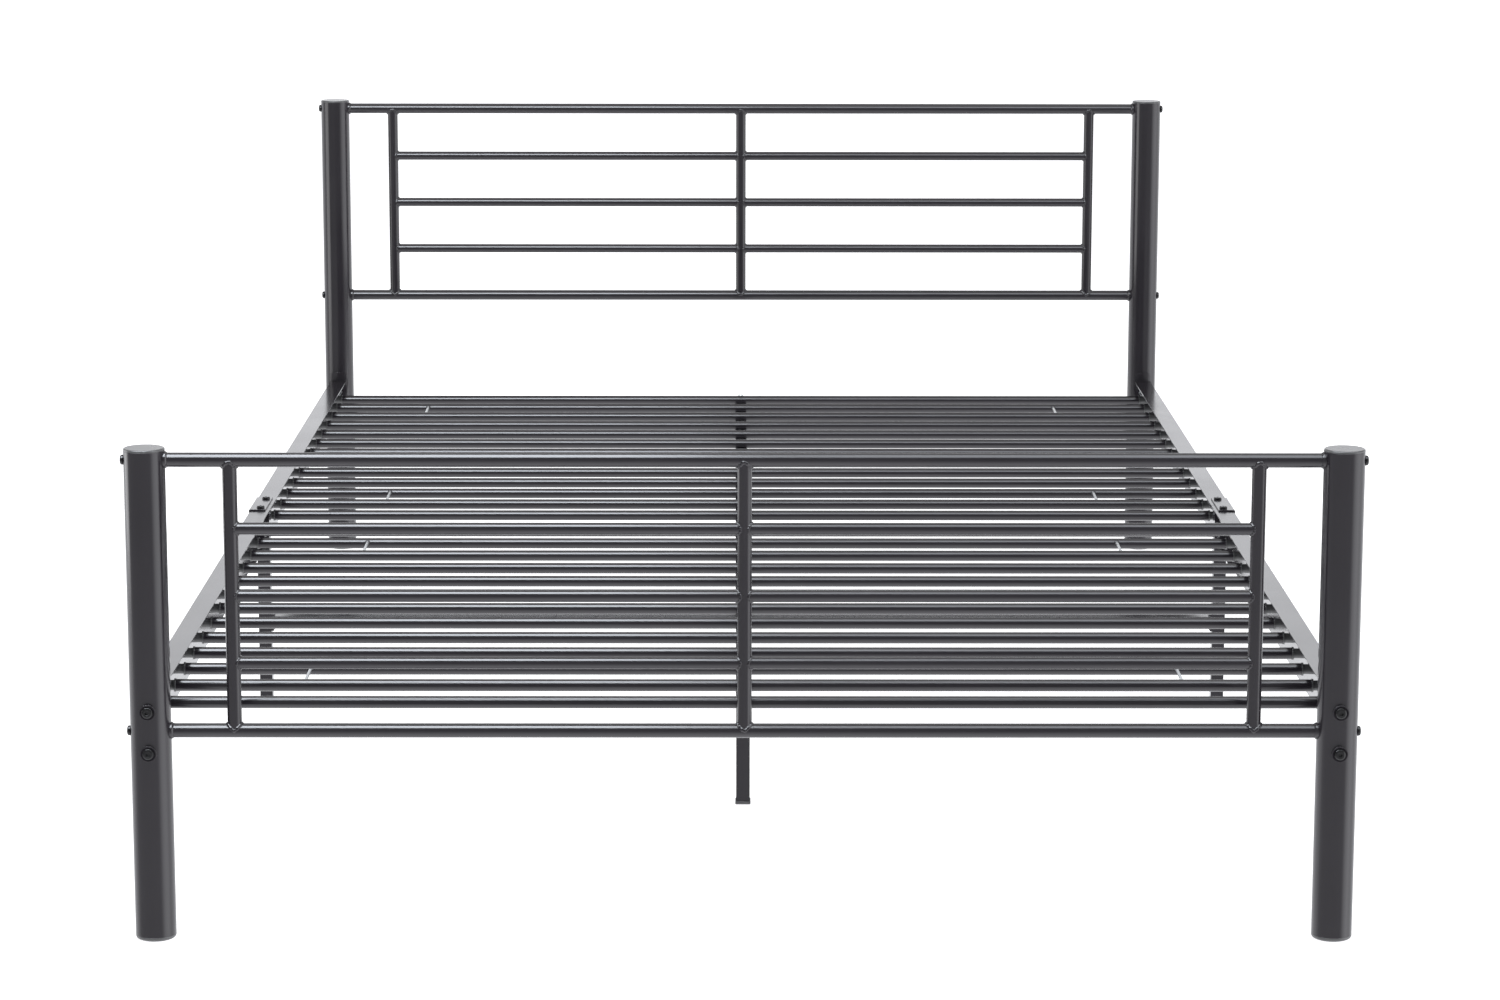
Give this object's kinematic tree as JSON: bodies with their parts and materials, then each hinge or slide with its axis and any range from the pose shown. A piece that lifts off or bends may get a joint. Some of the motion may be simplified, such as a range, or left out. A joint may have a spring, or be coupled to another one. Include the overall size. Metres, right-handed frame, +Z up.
{
  "type": "metal bed frame",
  "caption": "Tubular steel bed frame with round posts, barred headboard and footboard, angle side rails, round slats and a supported centre beam.",
  "frame": {"origin": "on the floor, under the middle of the bed", "axes": "+X across the bed to the right seen from the foot end, +Y along the bed towards the headboard, +Z up"},
  "size_m": [1.2728, 2.1356, 0.687],
  "materials": {
    "frame_coat": "satin anthracite powder coat on steel tube",
    "moulded_plastic": "moulded dark grey plastic",
    "black_fastener": "black zinc plated steel",
    "zinc_steel": "bright zinc plated steel"
  },
  "bodies": {
    "root": {"beam_joiner": "zinc_steel", "beam_screws": "zinc_steel", "centre_beam_foot": "frame_coat", "centre_beam_head": "frame_coat", "centre_leg_bolts": "black_fastener", "centre_leg_foot": "frame_coat", "centre_leg_head": "frame_coat", "centre_leg_middle": "frame_coat", "crossbar_bolts": "black_fastener", "crossbar_left": "frame_coat", "crossbar_right": "frame_coat", "foot_bars_left": "frame_coat", "foot_bars_right": "frame_coat", "foot_bottom_rail": "frame_coat", "foot_post_left": "frame_coat", "foot_post_right": "frame_coat", "foot_slats": "frame_coat", "foot_top_rail": "frame_coat", "foot_upright_centre": "frame_coat", "foot_upright_left": "frame_coat", "foot_upright_right": "frame_coat", "head_bars_left": "frame_coat", "head_bars_right": "frame_coat", "head_bottom_rail": "frame_coat", "head_post_left": "frame_coat", "head_post_right": "frame_coat", "head_slats": "frame_coat", "head_top_rail": "frame_coat", "head_upright_centre": "frame_coat", "head_upright_left": "frame_coat", "head_upright_right": "frame_coat", "hex_nuts": "zinc_steel", "joiner_screws": "zinc_steel", "joint_plate_left": "frame_coat", "joint_plate_right": "frame_coat", "leg_bolts": "black_fastener", "leg_bracket_left": "frame_coat", "leg_bracket_right": "frame_coat", "leg_glides": "moulded_plastic", "middle_leg_left": "frame_coat", "middle_leg_right": "frame_coat", "panel_bolts": "black_fastener", "panel_rail_inserts": "zinc_steel", "panel_saddles": "frame_coat", "post_caps": "moulded_plastic", "post_feet": "moulded_plastic", "rail_bolt_washers": "frame_coat", "rail_bolts": "black_fastener", "rail_bracket_foot_left": "frame_coat", "rail_bracket_foot_right": "frame_coat", "rail_bracket_head_left": "frame_coat", "rail_bracket_head_right": "frame_coat", "rail_joint_screws": "black_fastener", "side_rail_foot_left": "frame_coat", "side_rail_foot_right": "frame_coat", "side_rail_head_left": "frame_coat", "side_rail_head_right": "frame_coat", "slat_plugs": "moulded_plastic", "slat_ties": "zinc_steel"}
  },
  "joints": []
}
